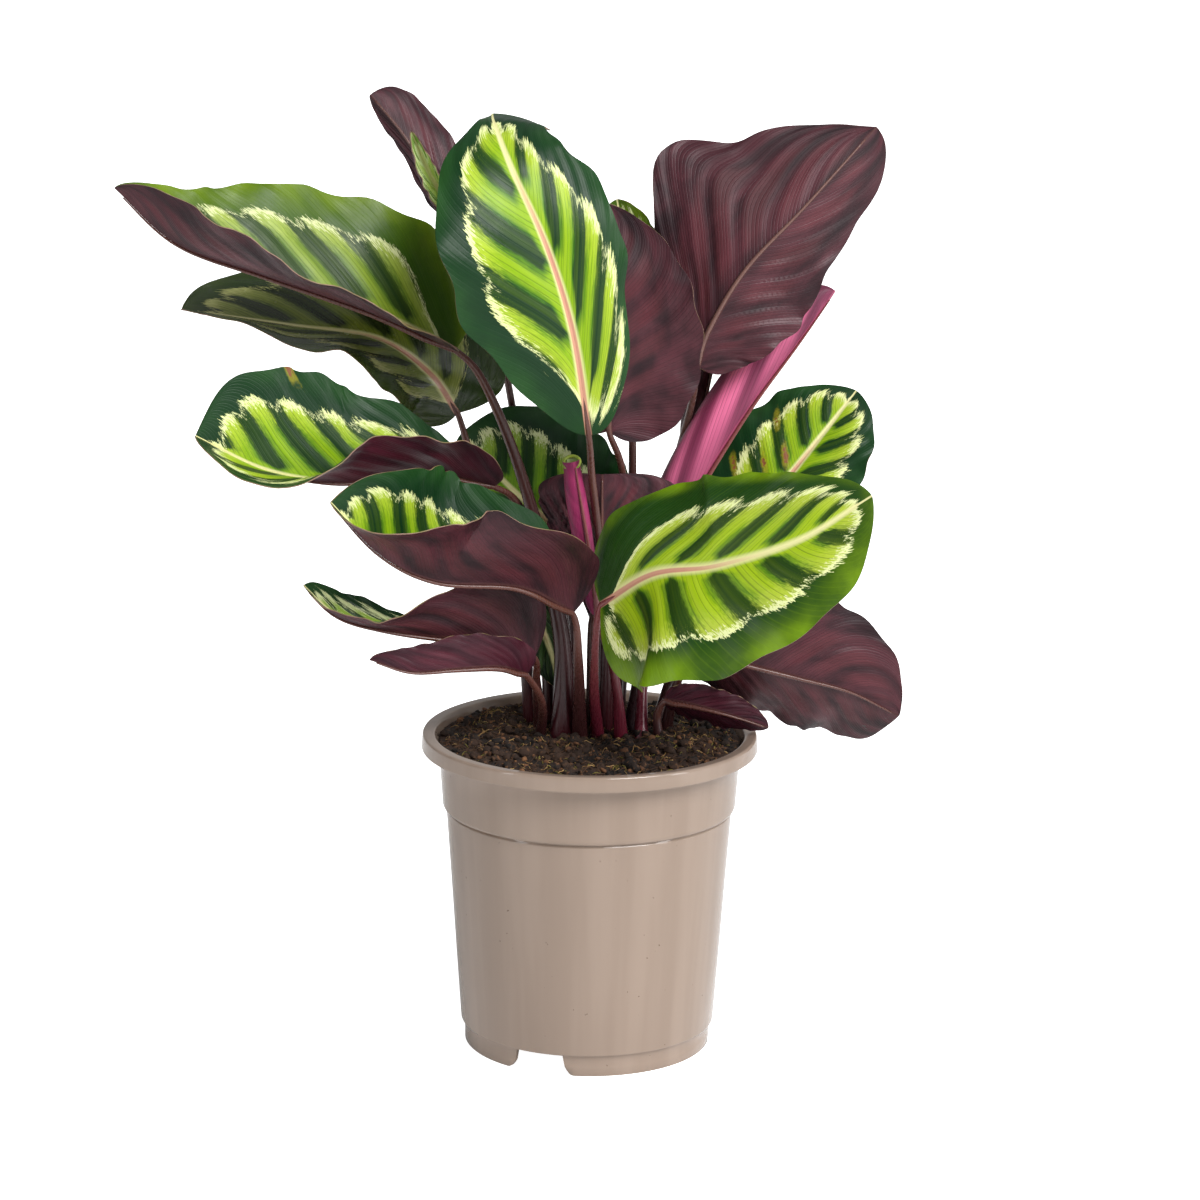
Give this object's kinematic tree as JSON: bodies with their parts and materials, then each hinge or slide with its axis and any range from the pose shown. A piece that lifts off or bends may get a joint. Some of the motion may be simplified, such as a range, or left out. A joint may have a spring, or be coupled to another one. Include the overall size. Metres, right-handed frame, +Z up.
{
  "type": "potted calathea",
  "caption": "Calathea with broad feather-patterned leaves on slender stalks, purple beneath, and young rolled leaves, growing in soil in a tapered plastic nursery pot.",
  "frame": {"origin": "under the middle of the plant's outline seen from above, in the plane that the pot's foot ring stands on; the pot's own axis is 34 mm to the +X side of it and 7 mm towards +Y", "axes": "+Z up along the pot's axis; the side pictured as the front faces -Y; +X is to the right of somebody who looks at the front"},
  "size_m": [0.3888, 0.2102, 0.4777],
  "materials": {
    "pot": "satin",
    "soil": "matte",
    "leaf_green": "satin",
    "leaf_purple": "satin",
    "leaf_pink": "satin"
  },
  "bodies": {
    "root": {"pot": "pot", "soil": "soil", "leaf_top_centre": "leaf_green", "leaf_upper_left": "leaf_green", "leaf_left_second": "leaf_green", "leaf_left_middle": "leaf_green", "leaf_left_lower": "leaf_purple", "leaf_left_low": "leaf_purple", "leaf_left_lowest": "leaf_purple", "leaf_front_right": "leaf_green", "leaf_right_back": "leaf_green", "leaf_tall_right": "leaf_purple", "leaf_tall_centre": "leaf_purple", "leaf_top_left": "leaf_purple", "leaf_half_open": "leaf_purple", "leaf_middle_back": "leaf_green", "leaf_middle_dark": "leaf_purple", "leaf_right_low": "leaf_purple", "leaf_over_rim": "leaf_purple", "leaf_hanging_dark": "leaf_purple", "leaf_young_back": "leaf_green", "rolled_leaf_front": "leaf_pink", "rolled_leaf_right": "leaf_pink", "rolled_leaf_dark": "leaf_purple"}
  },
  "joints": []
}
